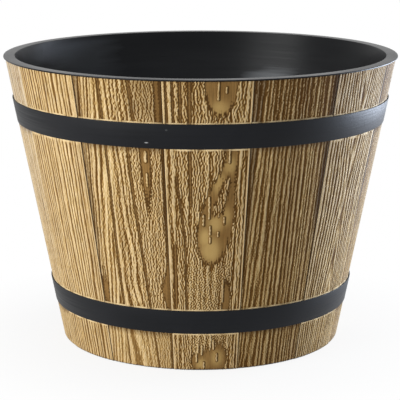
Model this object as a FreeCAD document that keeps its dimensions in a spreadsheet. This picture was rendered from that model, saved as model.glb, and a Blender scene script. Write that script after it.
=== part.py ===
import FreeCAD, Part
import os
import Sketcher

# Round planter: a coopered tub of fourteen staves and two hoops, with a lift-out inner pot.
# Millimetres, +Z up, origin on the floor under the middle of the foot, front towards -Y.

SIZES = {
    "rim_diameter": 400,
    "overall_height": 292.5,
    "foot_diameter": 286.8,
    "flange_thickness": 1.4,
    "rim_overhang": 1.3,
    "rim_round": 0.6,
    "stave_pairs": 7,
    "proud_stave_angle": 24.66,
    "front_turn": 1.9,
    "stave_thickness": 7.5,
    "stave_relief": 0.4,
    "stave_gap": 0.15,
    "foot_chamfer": 1.5,
    "hoop_shoulder": 0.75,
    "hoop_width": 24.5,
    "hoop_thickness": 1.0,
    "hoop_clearance": 0.05,
    "upper_hoop_drop": 41.8,
    "lower_hoop_level": 39.5,
    "hoop_lap": 60,
    "joggle_length": 12,
    "rivet_diameter": 5,
    "rivet_clearance": 0.05,
    "rivet_pitch": 30,
    "rivet_head_diameter": 9,
    "rivet_crown_diameter": 5,
    "rivet_head_edge": 0.6,
    "rivet_head_height": 2,
    "croze_level": 20,
    "croze_depth": 2.5,
    "croze_slack": 0.1,
    "board_thickness": 10,
    "board_clearance": 0.3,
    "middle_board_width": 96,
    "outlet_diameter": 44,
    "dowel_diameter": 6,
    "dowel_length": 30,
    "dowel_spacing": 150,
    "dowel_clearance": 0.05,
    "dowel_end_room": 1,
    "liner_clearance": 0.4,
    "liner_wall": 2.5,
    "liner_floor_thickness": 3,
    "liner_floor_gap": 6,
    "liner_corner_radius": 10,
    "drain_diameter": 22,
    "plug_clearance": 0.2,
    "plug_chamfer": 1,
    "plug_reach": 3.5,
    "plug_head_diameter": 34,
    "plug_head_thickness": 3,
    "grip_length": 20,
    "grip_width": 5,
    "grip_height": 9,
    "grip_round": 1.5,
}

# Lines that several pieces share. The wood's outer face climbs on one taper, from the seat of the hoops,
# and steps out by one shoulder below each hoop.
DERIVED = {
    "wood_top": "sizes.overall_height - sizes.flange_thickness",
    "seat_foot": "sizes.foot_diameter / 2 - 2 * sizes.hoop_shoulder",
    "taper": "(sizes.rim_diameter / 2 - sizes.rim_overhang - derived.seat_foot) / derived.wood_top",
    "slope_length": "sqrt(1 + derived.taper ^ 2)",
    "hoop_rise": "sizes.hoop_width / derived.slope_length",
    "upper_hoop_high": "sizes.overall_height - sizes.upper_hoop_drop",
    "upper_hoop_low": "derived.upper_hoop_high - derived.hoop_rise",
    "lower_hoop_low": "sizes.lower_hoop_level",
    "lower_hoop_high": "derived.lower_hoop_low + derived.hoop_rise",
    "lap_grip": "2 * sizes.hoop_thickness + sizes.hoop_clearance",
    "board_top": "sizes.croze_level + sizes.board_thickness",
    "croze_top": "derived.board_top + sizes.croze_slack",
    "croze_radius": "derived.seat_foot + derived.taper * derived.croze_top"
                    " - sizes.stave_thickness + sizes.croze_depth",
    "floor_under": "derived.board_top + sizes.liner_floor_gap",
    "floor_top": "derived.floor_under + sizes.liner_floor_thickness",
}

doc = FreeCAD.newDocument("round_planter")
sheet = doc.addObject("Spreadsheet::Sheet", "sizes")
for row, (alias, number) in enumerate(SIZES.items(), start=1):
    sheet.set(f"A{row}", str(number))
    sheet.setAlias(f"A{row}", alias)
doc.recompute()

derived = doc.addObject("App::VarSet", "derived")
for name in DERIVED:
    derived.addProperty("App::PropertyFloat", name, "Derived")
for name, expression in DERIVED.items():
    derived.setExpression(name, expression)
doc.recompute()

pieces = []


def new_body(label):
    """Empty body of one sub-part, listed for export."""
    body = doc.addObject("PartDesign::Body", label)
    body.Label = label
    pieces.append(body)
    return body


def origin_part(body, role):
    """Origin plane or axis of a body, found by its role."""
    return next(item for item in body.Origin.OriginFeatures if item.Role == role)


def value(holder, expression):
    """Number that an expression has now."""
    return float(holder.evalExpression(expression))


def outline(body, name, plane, corners):
    """Closed outline of straight edges whose corners stand at pairs of expressions in the plane."""
    sketch = body.newObject("Sketcher::SketchObject", name)
    sketch.AttachmentSupport = [(origin_part(body, plane), "")]
    sketch.MapMode = "FlatFace"
    places = [FreeCAD.Vector(value(sketch, x), value(sketch, y), 0) for x, y in corners]
    count = len(places)
    for i in range(count):
        sketch.addGeometry(Part.LineSegment(places[i], places[(i + 1) % count]), False)
    for i in range(count):
        sketch.addConstraint(Sketcher.Constraint("Coincident", i, 2, (i + 1) % count, 1))
    for i, (x, y) in enumerate(corners):
        for kind, expression, now in (("DistanceX", x, places[i].x), ("DistanceY", y, places[i].y)):
            number = sketch.addConstraint(Sketcher.Constraint(kind, -1, 1, i, 1, now))
            sketch.setExpression(f"Constraints[{number}]", expression)
    return sketch


def turn_outline(sketch, angle):
    """Turns an outline on the XZ plane about the upright axis."""
    upright = FreeCAD.Rotation(FreeCAD.Vector(0, 1, 0), 1)
    sketch.AttachmentOffset = FreeCAD.Placement(FreeCAD.Vector(), upright)
    sketch.setExpression("AttachmentOffset.Rotation.Angle", f"({angle}) * 1 deg")


def revolve(body, name, sketch, angle="360", axis="V_Axis", both_ways=False, cut=False):
    """Turns an outline about one of its own axes, as added or as removed material."""
    feature = body.newObject("PartDesign::Groove" if cut else "PartDesign::Revolution", name)
    feature.Profile = sketch
    feature.ReferenceAxis = (sketch, [axis])
    feature.Midplane = both_ways
    feature.setExpression("Angle", f"({angle}) * 1 deg")
    body.Tip = feature
    return feature


def pattern_round(body, name, feature, angle):
    """Repeats a feature once more, turned about the upright axis."""
    pattern = body.newObject("PartDesign::PolarPattern", name)
    pattern.Originals = [feature]
    pattern.Axis = (origin_part(body, "Z_Axis"), [""])
    pattern.Occurrences = 2
    pattern.setExpression("Angle", f"({angle}) * 1 deg")
    body.Tip = pattern
    return pattern


def fillet(body, name, base, rings, radius):
    """Rounds the level circular edges that stand at the given radii and heights."""
    doc.recompute()
    spots = [(value(base, r), value(base, z)) for r, z in rings]
    names = []
    for i, edge in enumerate(base.Shape.Edges, start=1):
        if edge.Curve.TypeId != "Part::GeomCircle":
            continue
        centre = edge.Curve.Center
        if any(abs(edge.Curve.Radius - r) < 0.01 and abs(centre.z - z) < 0.01 for r, z in spots):
            names.append(f"Edge{i}")
    feature = body.newObject("PartDesign::Fillet", name)
    feature.Base = (base, names)
    feature.setExpression("Radius", radius)
    body.Tip = feature
    return feature


def turn_piece(piece, angle):
    """Places a sub-part turned about the upright axis through the origin."""
    piece.Placement = FreeCAD.Placement(FreeCAD.Vector(), FreeCAD.Rotation(FreeCAD.Vector(0, 0, 1), 1))
    piece.setExpression("Placement.Rotation.Angle", f"({angle}) * 1 deg")


def seat(height, shoulders=0):
    """Radius of the wood's outer face at a height, so many shoulders out from the upper section."""
    return f"derived.seat_foot + derived.taper * ({height}) + {shoulders} * sizes.hoop_shoulder"


def bore(height):
    """Radius of the wood's inner face at a height."""
    return f"{seat(height)} - sizes.stave_thickness"


def degrees(length, radius):
    """Angle in degrees that an arc of a length takes at a radius."""
    return f"{length} / ({radius}) * 180 / pi"


# Staves: tapered planks side by side, a proud one and a set-back one in turn. Each has two shoulders that
# carry the hoops, a groove inside near the foot that holds the base, and a bevelled foot edge.
def make_stave(number, proud):
    body = new_body(f"stave_{number + 1:02d}")
    relief = "0" if proud else "sizes.stave_relief"
    low, high = "derived.lower_hoop_low", "derived.upper_hoop_low"
    corners = [
        (f"{seat('0', 2)} - {relief} - sizes.foot_chamfer", "0"),
        (f"{seat('sizes.foot_chamfer', 2)} - {relief}", "sizes.foot_chamfer"),
        (f"{seat(low, 2)} - {relief}", low),
        (f"{seat(low, 1)} - {relief}", low),
        (f"{seat(high, 1)} - {relief}", high),
        (f"{seat(high, 0)} - {relief}", high),
        (f"{seat('derived.wood_top')} - {relief}", "derived.wood_top"),
        (bore("derived.wood_top"), "derived.wood_top"),
        (bore("derived.croze_top"), "derived.croze_top"),
        ("derived.croze_radius", "derived.croze_top"),
        ("derived.croze_radius", "sizes.croze_level"),
        (bore("sizes.croze_level"), "sizes.croze_level"),
        (bore("0"), "0"),
    ]
    section = outline(body, "stave_section", "XZ_Plane", corners)
    gap = "sizes.stave_gap / (sizes.rim_diameter / 2) * 180 / pi"
    proud_angle = "sizes.proud_stave_angle"
    angle = proud_angle if proud else f"360 / sizes.stave_pairs - {proud_angle}"
    revolve(body, "stave_plank", section, f"{angle} - {gap}", both_ways=True)
    turn_piece(body, f"sizes.front_turn - 90 + {number} * 180 / sizes.stave_pairs")


for number in range(2 * int(sheet.stave_pairs)):
    make_stave(number, proud=number % 2 == 0)


# Hoops: flat strips bent to the taper. One end is joggled outwards and laps over the other end at the
# back, where two rivets hold the lap.
def strip_corners(low, high, shoulders, raised):
    """Section of a hoop strip on its seat, or raised by one strip where it laps over itself."""
    lift = "sizes.hoop_clearance"
    if raised:
        lift = "2 * sizes.hoop_clearance + sizes.hoop_thickness"
    return [
        (f"{seat(low, shoulders)} + {lift}", low),
        (f"{seat(low, shoulders)} + {lift} + sizes.hoop_thickness", low),
        (f"{seat(high, shoulders)} + {lift} + sizes.hoop_thickness", high),
        (f"{seat(high, shoulders)} + {lift}", high),
    ]


def rivet_frame(sketch, low, high, shoulders):
    """Lays an outline with its X axis square to the strip, at mid height on the strip's inner face."""
    leaning = FreeCAD.Rotation(FreeCAD.Vector(0, 0, -1), 1)
    sketch.AttachmentOffset = FreeCAD.Placement(FreeCAD.Vector(), leaning)
    middle = f"({low} + {high}) / 2"
    sketch.setExpression("AttachmentOffset.Base.x", f"{seat(middle, shoulders)} + sizes.hoop_clearance")
    sketch.setExpression("AttachmentOffset.Base.y", middle)
    sketch.setExpression("AttachmentOffset.Rotation.Angle", "atan(derived.taper)")


def make_hoop(name, low, high, shoulders):
    radius = seat(f"({low} + {high}) / 2", shoulders)
    lap_turn = degrees("sizes.hoop_lap", radius)
    rivet_turn = degrees("sizes.rivet_pitch", radius)
    joggle_turn = degrees("sizes.joggle_length", radius)
    start = f"({rivet_turn} - {lap_turn}) / 2"
    back = f"90 - {rivet_turn} / 2"
    grip = "derived.lap_grip / derived.slope_length"

    body = new_body(name)
    section = outline(body, "strip_section", "XZ_Plane", strip_corners(low, high, shoulders, False))
    turn_outline(section, start)
    revolve(body, "strip", section, f"360 - {joggle_turn}")
    foot = outline(body, "joggle_foot", "XZ_Plane", strip_corners(low, high, shoulders, False))
    turn_outline(foot, f"{start} - {joggle_turn}")
    head = outline(body, "joggle_head", "XZ_Plane", strip_corners(low, high, shoulders, True))
    turn_outline(head, start)
    joggle = body.newObject("PartDesign::AdditiveLoft", "joggle")
    joggle.Profile = foot
    joggle.Sections = [head]
    joggle.Ruled = True
    lap_section = outline(body, "lap_section", "XZ_Plane", strip_corners(low, high, shoulders, True))
    turn_outline(lap_section, start)
    lap = revolve(body, "lap", lap_section, lap_turn)
    hole_radius = "sizes.rivet_diameter / 2 + sizes.rivet_clearance"
    hole_section = outline(body, "rivet_hole_section", "XZ_Plane", [
        ("-sizes.hoop_thickness", "0"),
        ("-sizes.hoop_thickness", hole_radius),
        (f"{grip} + sizes.hoop_thickness", hole_radius),
        (f"{grip} + sizes.hoop_thickness", "0"),
    ])
    rivet_frame(hole_section, low, high, shoulders)
    hole = revolve(body, "rivet_hole", hole_section, axis="H_Axis", cut=True)
    pattern_round(body, "rivet_holes", hole, rivet_turn)
    doc.recompute()
    if body.Shape.Volume >= lap.Shape.Volume:
        raise RuntimeError(f"the rivet holes of {name} removed nothing")
    turn_piece(body, back)

    rivets = new_body(f"{name}_rivets")
    rivet_section = outline(rivets, "rivet_section", "XZ_Plane", [
        ("0", "0"),
        ("0", "sizes.rivet_diameter / 2"),
        (grip, "sizes.rivet_diameter / 2"),
        (grip, "sizes.rivet_head_diameter / 2"),
        (f"{grip} + sizes.rivet_head_edge", "sizes.rivet_head_diameter / 2"),
        (f"{grip} + sizes.rivet_head_height", "sizes.rivet_crown_diameter / 2"),
        (f"{grip} + sizes.rivet_head_height", "0"),
    ])
    rivet_frame(rivet_section, low, high, shoulders)
    rivet = revolve(rivets, "rivet", rivet_section, axis="H_Axis")
    pattern_round(rivets, "rivet_row", rivet, rivet_turn)
    turn_piece(rivets, back)


make_hoop("upper_hoop", "derived.upper_hoop_low", "derived.upper_hoop_high", 0)
make_hoop("lower_hoop", "derived.lower_hoop_low", "derived.lower_hoop_high", 1)


# Base: a round of three boards that stands in the groove of the staves, doweled edge to edge, with an
# outlet in the middle board under the drain of the inner pot.
def bound(kind, name, **expressions):
    """Part object whose properties follow expressions; a double underscore stands for a dot."""
    item = doc.addObject(kind, name)
    for key, expression in expressions.items():
        item.setExpression(key.replace("__", "."), expression)
    return item


def dowel_rods(name, diameter, length):
    """Four level rods across the two board joints."""
    rods = []
    for side in (-1, 1):
        for along in (-1, 1):
            rod = bound("Part::Cylinder", f"{name}_rod", Radius=f"({diameter}) / 2", Height=length)
            turn = FreeCAD.Rotation(FreeCAD.Vector(0, 1, 0), 90)
            rod.Placement = FreeCAD.Placement(FreeCAD.Vector(), turn)
            rod.setExpression("Placement.Base.x", f"{side} * sizes.middle_board_width / 2 - ({length}) / 2")
            rod.setExpression("Placement.Base.y", f"{along} * sizes.dowel_spacing / 2")
            rod.setExpression("Placement.Base.z", "sizes.croze_level + sizes.board_thickness / 2")
            rods.append(rod)
    group = doc.addObject("Part::Compound", name)
    group.Links = rods
    return group


disc_radius = "derived.croze_radius - sizes.board_clearance"
disc = bound("Part::Cylinder", "base_disc", Radius=disc_radius, Height="sizes.board_thickness",
             Placement__Base__z="sizes.croze_level")
dowel_holes = dowel_rods("dowel_holes", "sizes.dowel_diameter + 2 * sizes.dowel_clearance",
                         "sizes.dowel_length + 2 * sizes.dowel_end_room")
outlet = bound("Part::Cylinder", "outlet", Radius="sizes.outlet_diameter / 2",
               Height="sizes.board_thickness", Placement__Base__z="sizes.croze_level")
side_width = f"{disc_radius} - sizes.middle_board_width / 2"
BOARDS = {
    "base_board_left": (f"-({disc_radius})", side_width),
    "base_board_middle": ("-sizes.middle_board_width / 2", "sizes.middle_board_width"),
    "base_board_right": ("sizes.middle_board_width / 2", side_width),
}
for name, (edge, width) in BOARDS.items():
    plank = bound("Part::Box", f"{name}_plank", Length=width, Width=f"2 * ({disc_radius})",
                  Height="sizes.board_thickness", Placement__Base__x=edge,
                  Placement__Base__y=f"-({disc_radius})", Placement__Base__z="sizes.croze_level")
    round_board = doc.addObject("Part::Common", f"{name}_round")
    round_board.Base = disc
    round_board.Tool = plank
    drilled = doc.addObject("Part::Cut", f"{name}_drilled")
    drilled.Base = round_board
    drilled.Tool = dowel_holes
    board = drilled
    if name == "base_board_middle":
        board = doc.addObject("Part::Cut", f"{name}_outlet")
        board.Base = drilled
        board.Tool = outlet
    board.Label = name
    pieces.append(board)
dowels = dowel_rods("base_dowels", "sizes.dowel_diameter", "sizes.dowel_length")
dowels.Label = "base_dowels"
pieces.append(dowels)


# Inner pot: a moulded pot that hangs in the tub by the flange on its rim, with a drain in its floor.
def pot_outside(height):
    """Radius of the pot's outer wall at a height."""
    return f"{bore(height)} - sizes.liner_clearance"


def pot_inside(height):
    """Radius of the pot's inner wall at a height."""
    return f"{pot_outside(height)} - sizes.liner_wall"


pot = new_body("liner_pot")
pot_section = outline(pot, "pot_section", "XZ_Plane", [
    ("sizes.drain_diameter / 2", "derived.floor_under"),
    (pot_outside("derived.floor_under"), "derived.floor_under"),
    (pot_outside("derived.wood_top"), "derived.wood_top"),
    ("sizes.rim_diameter / 2", "derived.wood_top"),
    ("sizes.rim_diameter / 2", "sizes.overall_height"),
    (pot_inside("sizes.overall_height"), "sizes.overall_height"),
    (pot_inside("derived.floor_top"), "derived.floor_top"),
    ("sizes.drain_diameter / 2", "derived.floor_top"),
])
shell = revolve(pot, "pot_shell", pot_section)
outer_corner = fillet(pot, "outer_corner", shell, [
    (pot_outside("derived.floor_under"), "derived.floor_under"),
], "sizes.liner_corner_radius")
inner_corner = fillet(pot, "inner_corner", outer_corner, [
    (pot_inside("derived.floor_top"), "derived.floor_top"),
], "sizes.liner_corner_radius - sizes.liner_wall")
fillet(pot, "rim_edges", inner_corner, [
    ("sizes.rim_diameter / 2", "sizes.overall_height"),
    (pot_inside("sizes.overall_height"), "sizes.overall_height"),
], "sizes.rim_round")


# Drain plug: a rubber stopper that drops into the drain from inside, with a flat finger grip on top.
plug = new_body("drain_plug")
stem_radius = "sizes.drain_diameter / 2 - sizes.plug_clearance"
stem_end = "derived.floor_under - sizes.plug_reach"
head_top = "derived.floor_top + sizes.plug_head_thickness"
plug_section = outline(plug, "plug_section", "XZ_Plane", [
    ("0", stem_end),
    (f"{stem_radius} - sizes.plug_chamfer", stem_end),
    (stem_radius, f"{stem_end} + sizes.plug_chamfer"),
    (stem_radius, "derived.floor_top"),
    ("sizes.plug_head_diameter / 2", "derived.floor_top"),
    ("sizes.plug_head_diameter / 2", head_top),
    ("0", head_top),
])
revolve(plug, "plug_stopper", plug_section)
grip_section = outline(plug, "grip_section", "XZ_Plane", [
    ("-sizes.grip_length / 2", "derived.floor_top"),
    ("sizes.grip_length / 2", "derived.floor_top"),
    ("sizes.grip_length / 2", f"{head_top} + sizes.grip_height - sizes.grip_round"),
    ("sizes.grip_length / 2 - sizes.grip_round", f"{head_top} + sizes.grip_height"),
    ("-sizes.grip_length / 2 + sizes.grip_round", f"{head_top} + sizes.grip_height"),
    ("-sizes.grip_length / 2", f"{head_top} + sizes.grip_height - sizes.grip_round"),
])
finger_grip = plug.newObject("PartDesign::Pad", "finger_grip")
finger_grip.Profile = grip_section
finger_grip.SideType = "Symmetric"
finger_grip.setExpression("Length", "sizes.grip_width")
plug.Tip = finger_grip

doc.recompute()

# Every object has to have computed, and every piece has to be whole, before anything is written.
failed = [item.Name for item in doc.Objects if "Invalid" in item.State or "Error" in item.State]
failed += [piece.Label for piece in pieces if piece.Shape.isNull() or not piece.Shape.isValid()]
if failed:
    raise RuntimeError(f"not computed: {failed}")

os.makedirs("parts", exist_ok=True)
for piece in pieces:
    piece.Shape.exportStep(f"parts/{piece.Label}.step")
    box = piece.Shape.BoundBox
    print(f"{piece.Label}: {len(piece.Shape.Solids)} solids, {piece.Shape.Volume:.1f} mm3, "
          f"x {box.XMin:.1f} to {box.XMax:.1f}, y {box.YMin:.1f} to {box.YMax:.1f}, "
          f"z {box.ZMin:.1f} to {box.ZMax:.1f}")
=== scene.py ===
import math

import bpy
import numpy as np
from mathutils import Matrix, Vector


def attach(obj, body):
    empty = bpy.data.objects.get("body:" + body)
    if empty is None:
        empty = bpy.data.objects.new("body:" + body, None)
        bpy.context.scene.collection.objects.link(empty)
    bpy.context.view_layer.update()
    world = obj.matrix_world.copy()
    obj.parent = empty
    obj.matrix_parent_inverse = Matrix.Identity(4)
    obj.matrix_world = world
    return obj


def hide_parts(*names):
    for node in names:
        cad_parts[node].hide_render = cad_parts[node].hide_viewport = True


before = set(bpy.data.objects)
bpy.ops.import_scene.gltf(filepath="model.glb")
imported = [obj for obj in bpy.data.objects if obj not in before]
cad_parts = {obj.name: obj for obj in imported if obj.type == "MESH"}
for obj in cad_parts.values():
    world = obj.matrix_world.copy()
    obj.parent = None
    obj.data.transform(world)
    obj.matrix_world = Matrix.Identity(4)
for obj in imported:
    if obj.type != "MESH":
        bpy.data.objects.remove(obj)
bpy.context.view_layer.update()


# Base: three sawn softwood boards that stand in the groove of the staves, held edge to edge by four
# beech dowels. The boards keep their saw marks; the middle one has the outlet drilled through it.
def add_node(tree, kind, inputs=(), **settings):
    """Shader node whose inputs, by name or number, are set to values or linked to other sockets."""
    node = tree.nodes.new(kind)
    for key, setting in settings.items():
        setattr(node, key, setting)
    for key, given in dict(inputs).items():
        if isinstance(given, bpy.types.NodeSocket):
            tree.links.new(given, node.inputs[key])
        else:
            node.inputs[key].default_value = given
    return node


def effect_group(name, inputs, outputs):
    """Empty node group with named sockets, and its input and output nodes."""
    group = bpy.data.node_groups.new(name, "ShaderNodeTree")
    for socket, kind in inputs.items():
        group.interface.new_socket(socket, in_out="INPUT", socket_type=kind)
    for socket, kind in outputs.items():
        group.interface.new_socket(socket, in_out="OUTPUT", socket_type=kind)
    return group, group.nodes.new("NodeGroupInput"), group.nodes.new("NodeGroupOutput")


def place_group(tree, group, inputs):
    """Node that uses a group in a material, with its own values."""
    return add_node(tree, "ShaderNodeGroup", inputs, node_tree=group)


def new_finish(name, **plain):
    """Material with one principled shader, and plain values set on that shader's own sockets."""
    material = bpy.data.materials.new(name)
    material.use_nodes = True
    tree = material.node_tree
    shader = tree.nodes["Principled BSDF"]
    for key, number in plain.items():
        shader.inputs[key.replace("_", " ")].default_value = number
    return material, tree, shader


def colour_ramp(tree, factor, stops):
    """Colour ramp through (place, colour) stops."""
    node = add_node(tree, "ShaderNodeValToRGB", {"Fac": factor})
    ramp = node.color_ramp
    while len(ramp.elements) < len(stops):
        ramp.elements.new(1.0)
    for element, (place, colour) in zip(ramp.elements, stops):
        element.position = place
        element.color = (*colour, 1.0)
    return node.outputs["Color"]


def remap(tree, number, low, high):
    """Value from 0 to 1 stretched to run from low to high."""
    node = add_node(tree, "ShaderNodeMapRange", {"Value": number, "To Min": low, "To Max": high})
    return node.outputs["Result"]


# The sockets of a mix node for colours, whose names its other kinds share.
MIX_FACTOR, MIX_FIRST, MIX_SECOND, MIX_RESULT = 0, 6, 7, 2


def tinted(tree, kind, factor, first, second):
    """Two colours mixed in one of the mix node's ways."""
    inputs = {MIX_FACTOR: factor, MIX_FIRST: first, MIX_SECOND: second}
    return add_node(tree, "ShaderNodeMix", inputs, data_type="RGBA", blend_type=kind).outputs[MIX_RESULT]


def bump(tree, height, strength, distance):
    """Surface normal from a height pattern."""
    node = add_node(tree, "ShaderNodeBump", {"Height": height, "Strength": strength, "Distance": distance})
    return node.outputs["Normal"]


# Fibre runs along the third axis of its coordinates: long thin streaks, and a slow drift of tone.
wood_fibre, fibre_in, fibre_out = effect_group(
    "wood_fibre",
    {"Vector": "NodeSocketVector", "Streaks per metre": "NodeSocketVector"},
    {"Streaks": "NodeSocketFloat", "Drift": "NodeSocketFloat"})
fibre_place = add_node(wood_fibre, "ShaderNodeVectorMath", {
    0: fibre_in.outputs["Vector"], 1: fibre_in.outputs["Streaks per metre"]}, operation="MULTIPLY")
fibre_streaks = add_node(wood_fibre, "ShaderNodeTexNoise", {
    "Vector": fibre_place.outputs[0], "Scale": 1.0, "Detail": 4.0, "Roughness": 0.65})
fibre_drift = add_node(wood_fibre, "ShaderNodeTexNoise", {
    "Vector": fibre_place.outputs[0], "Scale": 0.07, "Detail": 2.0})
wood_fibre.links.new(fibre_streaks.outputs["Fac"], fibre_out.inputs["Streaks"])
wood_fibre.links.new(fibre_drift.outputs["Fac"], fibre_out.inputs["Drift"])


def sawn_wood(name, pale, dark, streaks):
    """Unfinished wood on object coordinates: streaks between two tones, drift, and a rough sawn bump."""
    material, tree, shader = new_finish(name)
    place = add_node(tree, "ShaderNodeTexCoord").outputs["Object"]
    fibre = place_group(tree, wood_fibre, {"Vector": place, "Streaks per metre": streaks})
    tone = colour_ramp(tree, fibre.outputs["Streaks"], [(0.3, dark), (0.65, pale)])
    shade = remap(tree, fibre.outputs["Drift"], 0.75, 1.2)
    grey = add_node(tree, "ShaderNodeCombineColor", {0: shade, 1: shade, 2: shade}).outputs["Color"]
    tree.links.new(tinted(tree, "MULTIPLY", 1.0, tone, grey), shader.inputs["Base Color"])
    tree.links.new(remap(tree, fibre.outputs["Streaks"], 0.62, 0.85), shader.inputs["Roughness"])
    tree.links.new(bump(tree, fibre.outputs["Streaks"], 0.5, 0.0004), shader.inputs["Normal"])
    return material


def dress(node, material):
    """Gives a CAD node its finish."""
    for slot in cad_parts[node].material_slots:
        slot.material = material


PINE_PALE = np.array([0.56, 0.38, 0.21])
PINE_DARK = np.array([0.36, 0.21, 0.095])
BEECH_PALE = (0.6, 0.42, 0.25)
BEECH_DARK = (0.46, 0.29, 0.15)
BOARD_STREAKS = (420, 9, 420)
DOWEL_STREAKS = (18, 900, 900)
BOARD_TONES = {"base_board_left": 0.9, "base_board_middle": 1.08, "base_board_right": 0.8}
for board, tone in BOARD_TONES.items():
    dress(board, sawn_wood(f"{board}_pine", tone * PINE_PALE, tone * PINE_DARK, BOARD_STREAKS))
dress("base_dowels", sawn_wood("turned_beech", BEECH_PALE, BEECH_DARK, DOWEL_STREAKS))


# Staves: fourteen tapered planks, a proud and a set-back one in turn. Their grain is pressed deep, stained
# brown and wiped, so that the ridges are golden and the hollows dark. The hoops alone hold them together.

# Sizes of the pieces are in millimetres and turns in degrees. Grain is drawn on each plank by its place
# across, from the middle of the plank, and its place up, from the foot.
MM = 0.001
STAVE_COUNT = 14
FRONT_TURN = 1.9
PROUD_ANGLE = 24.66
STAVE_GAP = 0.043
SET_BACK = 0.4
WOOD_TOP = 291.1
SEAT_FOOT = 141.9
TAPER = 0.195122
SHOULDER = 0.75
SHOULDER_LEVELS = (39.5, 226.6535)
HOOP_TOPS = (63.5465, 250.7)
FOOT_CHAMFER = 1.5
PLANK_THICKNESS = 7.5
CROZE_LOW, CROZE_HIGH, CROZE_RADIUS = 20.0, 30.1, 142.773
EDGE_ROUND = 0.6
GRAIN_DEPTH = 0.55
MM_PER_DEGREE = 2.967
RIDGE_FOOT = 0.14
FAN_TOP, FAN_HEIGHT = 226, 160
FOOT_FADE = (60, 30)


def smooth(low, high, x):
    """Soft step: 0 below low, 1 above high, with level ends; turned round where low is above high."""
    share = np.clip((x - low) / (high - low), 0, 1)
    return share * share * (3 - 2 * share)


def worms(across, up, pitch, spread, seed, band=0.15, waves=40):
    """Wandering ridges: many plane waves of about one pitch, each turned at random from square to the
    grain and shifted at random, added up and scaled to a spread of about one."""
    draw = np.random.default_rng(seed)
    turns = draw.normal(0, spread, waves)
    turns -= turns.mean()
    shifts = draw.uniform(0, 2 * np.pi, waves)
    rates = 2 * np.pi / (pitch * draw.uniform(1 - band, 1 + band, waves))
    total = np.zeros_like(across)
    for turn, shift, rate in zip(turns, shifts, rates):
        total += np.cos(rate * (across * np.cos(turn) + up * np.sin(turn)) + shift)
    return total * np.sqrt(2 / waves)


def streaks(across, up, low, high, length, seed, waves=40):
    """Streaks along the grain: waves of many pitches across it, from low to high, that shift at random over
    about one length, added up and scaled to a spread of about one."""
    draw = np.random.default_rng(seed)
    rates = 2 * np.pi / np.exp(draw.uniform(np.log(low), np.log(high), waves))
    slopes = draw.normal(0, 2 * np.pi / length, waves)
    shifts = draw.uniform(0, 2 * np.pi, waves)
    total = np.zeros_like(across)
    for rate, slope, shift in zip(rates, slopes, shifts):
        total += np.cos(rate * across + slope * up + shift)
    return total * np.sqrt(2 / waves)


def lines(place, pitch):
    """Straight ridges: a cosine of the place across the grain."""
    return np.cos(2 * np.pi * place / pitch)


def bar(across, up, start, end, radius, end_radius):
    """Distance outside a round-ended bar that tapers from one radius to another."""
    run, rise = end[0] - start[0], end[1] - start[1]
    along = ((across - start[0]) * run + (up - start[1]) * rise) / (run * run + rise * rise)
    along = np.clip(along, 0, 1)
    gap = np.hypot(across - start[0] - along * run, up - start[1] - along * rise)
    return gap - radius - (end_radius - radius) * along


def oval(across, up, centre, half):
    """Distance outside an upright oval, near enough: its scaled radius times its shorter half."""
    reach = np.hypot((across - centre[0]) / half[0], (up - centre[1]) / half[1])
    return (reach - 1) * min(half)


def melt(softness, *gaps):
    """Soft union of shapes given by their distances: a soft minimum."""
    return -softness * np.log(sum(np.exp(-gap / softness) for gap in gaps))


def channel(across, up, levels, places, half_width):
    """Distance outside a band of one width whose middle runs through places at levels."""
    inside = np.abs(across - np.interp(up, levels, places)) - half_width
    return np.maximum(inside, np.maximum(levels[0] - up, up - levels[-1]))


def dashes(across, up, marks):
    """Distance outside the nearest of short upright ridges, given by middle, half length and radius."""
    gaps = [bar(across, up, (x, z - half), (x, z + half), radius, radius) for x, z, half, radius in marks]
    return np.minimum.reduce(gaps)


def carve(ridges, hollow, island, dash, dash_shadow):
    """Height, wiped share, and stain with painted dash shadows, of a plank. Ridges end where smooth hollows
    begin, and dashes stand up in the hollows. Stain gathers along the hollows' borders, a painted shadow lies
    on one side of each dash, and islands are wiped."""
    calm = smooth(0.5, -0.5, hollow)
    standing = smooth(0.5, -0.5, dash)
    height = (RIDGE_FOOT + (1 - RIDGE_FOOT) * ridges) * (1 - calm)
    height = np.maximum(height, standing)
    # Stain along the hollows' borders, and a painted shadow on one side of each dash.
    stain_and_dash_shadow = np.maximum(0.9 * smooth(-1.5, -0.5, hollow) * calm, 0.85 * smooth(0.9, 0.2, dash_shadow))
    stain_and_dash_shadow *= smooth(0.0, 0.5, dash)
    wiped = smooth(-0.6, -2.8, island) * smooth(0.3, 1.0, dash)
    return height, wiped, stain_and_dash_shadow


# The painted shadow of a dash lies this far to one side of it.
DASH_SHADOW_SHIFT = 0.8
# Ridges left standing in the hollows: place across, place up, half length and radius.
KNOT_DASHES = [
    (3.0, 146.5, 4.0, 0.75), (3.0, 136.5, 2.6, 0.75), (10.3, 142.5, 2.0, 0.75), (15.9, 156, 3.2, 0.75),
    (-3.1, 156.5, 5.2, 0.75), (2.0, 169, 10.5, 0.8), (18.9, 221, 7.5, 0.8), (8.3, 282, 8, 0.75),
    (14.7, 283, 2.6, 0.7), (-10.4, 15, 5.5, 0.9), (-9, 24, 4.5, 0.9), (-4.6, 22, 4.5, 0.9),
    (-2.2, 5.5, 3.2, 0.9), (5, 30, 5, 0.8), (8.2, 27.5, 4.5, 0.9), (12.2, 14, 3.5, 0.9), (16.8, 84, 11, 0.8),
]
# Wiped places: place across, place up, and their reach across and up.
GOLDEN_SPOTS = [
    (4.5, 126, 10, 14), (-1, 139, 6, 10), (9, 153, 8, 9), (11, 194, 7, 12), (19, 211, 6, 10),
    (10, 264, 8, 10), (13, 13, 7, 9), (-5, 7, 6, 6), (17.5, 160, 5, 10),
]
# Channels at the upper left of the knot plank: place across and half width.
CROWN_CHANNELS = [(-33.5, 1.0), (-28.2, 1.05), (-22.2, 1.4), (-14.5, 1.65)]


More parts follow.
